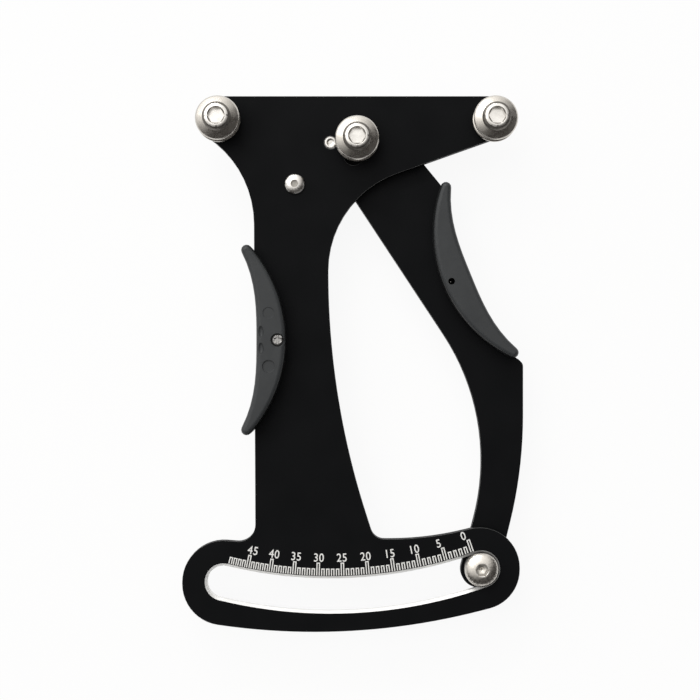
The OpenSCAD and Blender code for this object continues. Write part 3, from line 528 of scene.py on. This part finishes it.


# %% [markdown]
# ## The two plates
# Both plates are cut from 4 mm sheet and blasted, so their outline edges have a small round
# that catches the light; the round is also painted lighter, a painted highlight, and together
# they show as a thin grey line. The slot's edge was machined after the black finish: its
# chamfer and walls are bare and bright. The slot's faces are found by their distance from the
# pivot.

# %% Front plate
plate_round = 0.45
slot_middle_r, slot_half = 185.5, 6.65
slot_from, slot_to = -103.7, -70.5
scale_from_r = 170
front = merged_copy("front_plate", "front_plate_body")
front.data.materials.append(anodised)
front.data.materials.append(rim)
front.data.materials.append(edge_highlight_paint)


def on_slot_edge(face):
    """The chamfer round the slot leans; the walls of the slot stand upright near it."""
    leaning = 0.5 < face.normal.z < 0.9 and (face.center - pivot).xy.length > scale_from_r * MM
    return leaning or (abs(face.normal.z) < 0.1 and inside_slot(face.center))


def inside_slot(point):
    """Whether a point lies on or inside the slot's walls: how far it is from the middle line."""
    reach = (point - pivot).xy
    angle = math.degrees(math.atan2(reach.y, reach.x))
    angle = math.radians(min(max(angle, slot_from), slot_to))
    line = Vector((math.cos(angle), math.sin(angle))) * slot_middle_r * MM
    return (reach - line).length < (slot_half + 0.2) * MM


def skin_edges(piece, index):
    """Gives the rounds along a plate's edges their own lighter finish, a painted highlight."""
    for face in piece.data.polygons:
        if face.material_index == 0 and 0.15 < abs(face.normal.z) < 0.95:
            face.material_index = index


bare = 0
for face in front.data.polygons:
    if on_slot_edge(face):
        face.material_index = 1
        bare += 1
soften(front, plate_round * MM, from_angle=60)
skin_edges(front, 2)
smooth(front, 30)
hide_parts("front_plate")
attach(front, "frame")
print("front plate:", len(front.data.polygons), "faces,", bare, "bare ones round the slot")

# %% Arm plate
arm = merged_copy("arm_plate", "arm_plate_body")
arm.data.materials.append(anodised)
arm.data.materials.append(edge_highlight_paint)
soften(arm, plate_round * MM, from_angle=60)
skin_edges(arm, 1)
smooth(arm, 30)
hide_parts("arm_plate")
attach(arm, "arm")
print("arm plate:", len(arm.data.polygons), "faces")

# %% [markdown]
# ## The scale
# The marks are in the frame already, as a thin layer of ink. The numbers are added here, one
# for every fifth unit. Each is typed as text, made a little bolder, turned into a mesh and laid
# on the plate on its circle round the pivot, with its head towards the pivot. The units close
# up towards the high end of the scale, so a formula gives each one's angle. The numbers stand a
# little nearer to the plumb line than their marks.

# %% Numbers
nodes["scale_marks"].data.materials.clear()
nodes["scale_marks"].data.materials.append(ink)

number_height, number_width = 3.35, 0.88
number_circle, number_pull = 170.25, 0.975
capital_height = 0.7
ink_bold, ink_half = 0.00004, 0.00003
zero_angle, unit_step, unit_closing = 19.1, 0.737, 0.0015


def unit_angle(unit):
    """Degrees from the plumb line, positive to the right."""
    return zero_angle - unit_step * unit + unit_closing * unit * unit


def number(unit):
    bpy.ops.object.text_add(location=(0, 0, 0))
    piece = bpy.context.object
    piece.name = "number_%02d" % unit
    piece.data.body = str(unit)
    piece.data.align_x, piece.data.align_y = "CENTER", "CENTER"
    piece.data.size = number_height * MM / capital_height
    piece.data.offset = ink_bold
    piece.data.extrude = ink_half
    piece.data.space_character = 1.08
    pick(piece)
    bpy.ops.object.convert(target="MESH")
    piece = bpy.context.object
    low = min(v.co.y for v in piece.data.vertices)
    high = max(v.co.y for v in piece.data.vertices)
    angle = math.radians(unit_angle(unit) * number_pull)
    drop = Vector((0, -number_circle * MM - (low + high) / 2, plate_top - pivot.z + ink_half))
    place = Matrix.Translation(pivot) @ Matrix.Rotation(angle, 4, "Z")
    place = place @ Matrix.Translation(drop) @ Matrix.Diagonal((number_width, 1, 1, 1))
    piece.data.transform(place)
    piece.data.materials.append(ink)
    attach(piece, "frame")
    return piece


numbers = [number(unit) for unit in range(0, 50, 5)]
print("numbers:", [piece.data.name for piece in numbers])

# %% [markdown]
# ## Screws, nuts and other small hardware
# These keep their solids' shapes. Their edges are softened and their finish is set. The ends
# that the picture shows get their last form here: the post screws' crowns fall away from the
# socket, the pointer screw's socket has a drilled cone, the pivot pin is dished in the middle
# of its end, the left grip's screw has a wider crown than its solid, and the right grip's screw
# has a point, which is what makes its open hole look black.

# %% Small hardware
for node, name, finish, slot, body, edge in (
        ("pivot_washer", "pivot_washer_body", screw_steel, "bare_steel", "frame", 0.1),
        ("retaining_clip", "retaining_clip_body", wire, "spring_steel", "frame", 0.1),
        ("post_washers", "post_washer_pair", screw_steel, "bare_steel", "frame", 0.1),
        ("post_nuts", "post_nut_pair", screw_steel, "bare_steel", "frame", 0.2),
        ("pointer_washer", "pointer_washer_body", screw_steel, "bare_steel", "arm", 0.1),
        ("pointer_nut", "pointer_nut_body", screw_steel, "bare_steel", "arm", 0.2),
        ("spring_post", "spring_post_body", screw_steel, "bare_steel", "frame", 0.15),
        ("spring_pin", "spring_pin_body", screw_steel, "bare_steel", "arm", 0.12),
        ("post_spacer", "post_spacer_body", screw_steel, "bare_steel", "arm", 0.1),
        ("arm_bush", "arm_bush_body", bronze, "bronze", "arm", 0.1),
        ("spring_sleeve", "spring_sleeve_body", nylon, "nylon_black", "frame", 0.1),
        ("pointer_bush", "pointer_bush_body", nylon, "nylon_black", "arm", 0.1),
        ("guide_washer", "guide_washer_body", nylon, "nylon_black", "arm", 0.1)):
    dressed(node, name, finish, body, edge)


def pick_faces(piece, wanted):
    """Enters Edit Mode with only the wanted faces selected."""
    pick(piece)
    bpy.ops.object.mode_set(mode="EDIT")
    bpy.ops.mesh.select_mode(type="FACE")
    bpy.ops.mesh.select_all(action="DESELECT")
    bpy.ops.object.mode_set(mode="OBJECT")
    for face in piece.data.polygons:
        face.select = wanted(face)
    bpy.ops.object.mode_set(mode="EDIT")


crown_slope, crown_from = 0.18, 0.68
floor_share, ring_share = 0.6, 0.62


def socket_screw(node, name, body, head_r, dark_from, finish, floor_finish, ring_finish, drill=0):
    """A screw with a hex socket. Outside dark_from the side of its head is painted darker, a
    painted shade. The socket has its own floor and bevelled ring, each with the finish given: plain
    steel, painted shade or a painted highlight, and a drilled cone if drill gives the flat that is
    left round it. Where dark_from lies well inside the head, its crown falls away a little from its
    socket, so its lower side turns dark."""
    low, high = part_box(node)
    axis = (low + high) / 2

    def out(face):
        return (face.center - axis).xy.length / MM

    def below(face):
        return (high.z - face.center.z) / MM

    def on_floor(face):
        return face.normal.z > 0.99 and 1 < below(face) < 4 and out(face) < head_r * floor_share

    def on_ring(face):
        return 0.4 < face.normal.z < 0.9 and below(face) < 1 and out(face) < head_r * ring_share

    piece = merged_copy(node, name)
    if dark_from < head_r * 0.8:
        for vertex in piece.data.vertices:
            reach = (vertex.co - axis).xy.length
            if reach > head_r * crown_from * MM and high.z - vertex.co.z < 1.2 * MM:
                vertex.co.z -= crown_slope * MM
    if drill:
        pick_faces(piece, on_floor)
        bpy.ops.mesh.inset(thickness=drill * MM)
        bpy.ops.mesh.inset(thickness=drill * 1.6 * MM, depth=-drill * 0.9 * MM)
        bpy.ops.object.mode_set(mode="OBJECT")
    soften(piece, 0.12 * MM)
    smooth(piece)
    stand_for(piece, node, finish, body)
    for more in (painted_shade_head_side, floor_finish, ring_finish):
        piece.data.materials.append(more)
    # The heads' sides get painted shade; the sockets' floors and rings get the finishes given,
    # plain steel, painted shade or a painted highlight.
    for face in piece.data.polygons:
        if out(face) > dark_from and face.normal.z < 0.8 and below(face) < 5:
            face.material_index = 1
        elif on_floor(face):
            face.material_index = 2
        elif on_ring(face):
            face.material_index = 3
    print(name, len(piece.data.polygons), "faces")


for side, body in (("left", "frame"), ("right", "frame"), ("middle", "arm")):
    socket_screw("post_screw_" + side, side + "_post_screw", body, 5.75, 4.5,
                 screw_steel, screw_steel, painted_shade_socket)
socket_screw("anchor_screw", "anchor_button", "frame", 4.1, 4,
             screw_steel, painted_shade_socket, painted_highlight_socket_ring)
pointer_steel = turned_steel("pointer_steel", middle("pointer_screw"))
socket_screw("pointer_screw", "pointer_button", "arm", 7.1, 7,
             pointer_steel, painted_shade_socket, painted_highlight_socket_ring, drill=0.75)


def pick_top_face(piece):
    """Enters Edit Mode with only the highest level face selected, and gives its centre."""
    level = [face for face in piece.data.polygons if face.normal.z > 0.99]
    crown = max(level, key=lambda face: face.center.z).center.copy()

    def highest(face):
        return face.normal.z > 0.99 and abs(face.center.z - crown.z) < 0.01 * MM

    pick_faces(piece, highest)
    return crown


pin_dish = [(0.55, 0), (0.35, -0.3), (0.6, -0.12)]
pin = merged_copy("pivot_pin", "pivot_pin_body")
pick_top_face(pin)
for inwards, depth in pin_dish:
    bpy.ops.mesh.inset(thickness=inwards * MM, depth=depth * MM)
bpy.ops.object.mode_set(mode="OBJECT")
soften(pin, 0.12 * MM)
smooth(pin)
stand_for(pin, "pivot_pin", screw_steel, "frame")

wider_crown = 1.35
flat_head = merged_copy("grip_screw_left", "left_grip_screw")
crown = pick_top_face(flat_head)
bpy.ops.transform.resize(value=(wider_crown, wider_crown, 1), center_override=crown)
bpy.ops.object.mode_set(mode="OBJECT")
soften(flat_head, 0.08 * MM)
smooth(flat_head)
stand_for(flat_head, "grip_screw_left", zinc, "frame")

point_length, point_width = 2.4, 0.12
pointed = merged_copy("grip_screw_right", "right_grip_screw")
tip = pick_top_face(pointed)
bpy.ops.transform.translate(value=(0, 0, -point_length * MM))
bpy.ops.mesh.extrude_region_move(TRANSFORM_OT_translate={"value": (0, 0, point_length * MM)})
bpy.ops.transform.resize(value=(point_width, point_width, 1), center_override=tip)
bpy.ops.object.mode_set(mode="OBJECT")
soften(pointed, 0.06 * MM, from_angle=50)
smooth(pointed)
stand_for(pointed, "grip_screw_right", screw_steel, "arm")
ends = (pin, flat_head, pointed)
print("pin and grip screws:", [len(piece.data.polygons) for piece in ends], "faces")

# %% [markdown]
# ## The posts
# A post is turned on a lathe. Here a disc is lifted ring by ring, and each ring is scaled to
# the tool's next radius: the flat end, the cone, the rounded rim, the groove where the spoke
# runs, and back to the other rim and its cone, which runs on under the screw's head. The steps
# are small on the rims, so they shine as round edges. Each step is a radius and a height in mm.

# %% Posts
post_steps = [(6.0, 0.0), (6.4, 0.12), (8.35, 1.55),
              (8.8, 1.95), (9.0, 2.4), (8.85, 2.85), (8.4, 3.2),
              (4.9, 4.45), (4.5, 4.9), (4.5, 6.1), (4.9, 6.55),
              (8.4, 7.8), (8.85, 8.15), (9.0, 8.6), (8.8, 9.05),
              (8.35, 9.45), (5.75, 10.95), (5.5, 11.0)]


def turned_post(node, name, body):
    low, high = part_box(node)
    centre = (low + high) / 2
    radius, level = post_steps[0]
    bpy.ops.mesh.primitive_circle_add(vertices=96, radius=radius * MM, fill_type="NGON",
                                      location=(centre.x, centre.y, low.z + level * MM))
    piece = bpy.context.object
    piece.name = name
    bpy.ops.object.mode_set(mode="EDIT")
    bpy.ops.mesh.select_all(action="SELECT")
    for next_radius, next_level in post_steps[1:]:
        lift = (0, 0, (next_level - level) * MM)
        bpy.ops.mesh.extrude_region_move(TRANSFORM_OT_translate={"value": lift})
        wider = next_radius / radius
        bpy.ops.transform.resize(value=(wider, wider, 1),
                                 center_override=(*centre.xy, low.z + next_level * MM))
        radius, level = next_radius, next_level
    bpy.ops.mesh.select_all(action="SELECT")
    bpy.ops.mesh.normals_make_consistent(inside=False)
    bpy.ops.object.mode_set(mode="OBJECT")
    bpy.ops.object.transform_apply(location=True, rotation=True, scale=True)
    smooth(piece, 32)
    steel = turned_steel("turned_steel_" + body + "_" + node, centre)
    stand_for(piece, node, steel, body)
    print(name, len(piece.data.polygons), "faces")


turned_post("post_left", "left_post", "frame")
turned_post("post_right", "right_post", "frame")
turned_post("post_middle", "middle_post", "arm")

# %% [markdown]
# ## The grips
# Each grip is two moulded halves that meet round the edge of their plate. The mould gives
# their edges a soft round, which the solids already have in a few steps, so a copy is merged
# and shaded smooth. The left grip shows how it was moulded: two shallow round dimples over its
# locating pegs and two small scoops at its outer edge. Each is cut with a Boolean modifier.

# %% Grips
grip_middle = pivot + Vector((-34, -81, 0)) * MM
grip_middle.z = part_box("grip_left_front")[1].z


def carve(piece, cutter):
    pick(piece)
    cut = piece.modifiers.new("carving", "BOOLEAN")
    cut.object = cutter
    cut.operation = "DIFFERENCE"
    bpy.ops.object.modifier_apply(modifier=cut.name)
    bpy.data.objects.remove(cutter)


def dimple(x, y, width, depth):
    bpy.ops.mesh.primitive_cylinder_add(vertices=48, radius=width / 2 * MM, depth=2 * MM,
                                        location=grip_middle + Vector((x, y, 1 - depth)) * MM)
    cutter = bpy.context.object
    soften(cutter, 0.3 * MM, segments=3)
    return cutter


def polish_edges(piece):
    """Gives the rounds and sides of a grip the darker edge finish, a painted shade, where they lean
    away from its face.
    """
    piece.data.materials.append(grip_edge_painted_shade)
    for face in piece.data.polygons:
        if abs(face.normal.z) < 0.7:
            face.material_index = 1


def scoop(x, y, size):
    bpy.ops.mesh.primitive_uv_sphere_add(segments=32, ring_count=16, radius=MM,
                                         location=grip_middle + Vector((x, y, 0)) * MM)
    cutter = bpy.context.object
    cutter.scale = size
    bpy.ops.object.transform_apply(location=True, rotation=True, scale=True)
    return cutter


moulded = merged_copy("grip_left_front", "left_grip_front_half")
scoop_size = (1.1, 2.3, 0.7)
for cutter in (dimple(9, 10.9, 4.8, 0.2), dimple(9, -10.7, 5.2, 0.55),
               scoop(5.9, 3.4, scoop_size), scoop(5.9, -3.4, scoop_size)):
    carve(moulded, cutter)
smooth(moulded, 50)
stand_for(moulded, "grip_left_front", grip_grey, "frame")
polish_edges(moulded)
print("left grip's front half:", len(moulded.data.polygons), "faces with its dimples and scoops")

for node, name, body in (("grip_left_rear", "left_grip_rear_half", "frame"),
                         ("grip_right_front", "right_grip_front_half", "arm"),
                         ("grip_right_rear", "right_grip_rear_half", "arm")):
    polish_edges(dressed(node, name, grip_grey, body, edge=0, up_to=50))

# %% [markdown]
# ## The spring
# The spring behind the pivot pushes the arm back to zero. Its wire follows a helix, with a
# straight leg at each end that leaves it along a tangent. It is drawn as a curve with a round
# section and made a mesh.

# %% Spring
wire_d, coil_r = 1.8, 6.0
spring_low, spring_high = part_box("torsion_spring")
coil_rear, coil_front = spring_low.z + wire_d / 2 * MM, spring_high.z - wire_d / 2 * MM
fixed_a, moving_a, whole_turns = 166.9, 8.4, 2
fixed_leg, moving_leg = 22.9, 20.9
sweep = fixed_a - moving_a + 360 * whole_turns
coil_steps = 160


def around(angle, radius, z):
    a = math.radians(angle)
    return Vector((pivot.x + radius * MM * math.cos(a), pivot.y + radius * MM * math.sin(a), z))


def spring_line():
    out_fixed = around(fixed_a + 90, 1, 0) - around(0, 0, 0)
    out_moving = around(moving_a - 90, 1, 0) - around(0, 0, 0)
    start, end = around(fixed_a, coil_r, coil_rear), around(moving_a, coil_r, coil_front)
    rise = coil_front - coil_rear
    coil = [around(fixed_a - sweep * i / coil_steps, coil_r, coil_rear + rise * i / coil_steps)
            for i in range(coil_steps + 1)]
    return [start + out_fixed * fixed_leg, start + out_fixed * fixed_leg / 2, *coil,
            end + out_moving * moving_leg / 2, end + out_moving * moving_leg]


line = spring_line()
curve = bpy.data.curves.new("return_spring", "CURVE")
curve.dimensions = "3D"
curve.bevel_depth = wire_d / 2 * MM
curve.bevel_resolution = 4
curve.use_fill_caps = True
path = curve.splines.new("POLY")
path.points.add(len(line) - 1)
for point, place in zip(path.points, line):
    point.co = (*place, 1)
spring = bpy.data.objects.new("return_spring", curve)
bpy.context.scene.collection.objects.link(spring)
pick(spring)
bpy.ops.object.convert(target="MESH")
spring = bpy.context.object
smooth(spring, 40)
spring.data.materials.append(wire)
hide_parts("torsion_spring")
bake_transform(spring)
print("spring:", len(spring.data.polygons), "faces, sweep", round(sweep), "degrees")
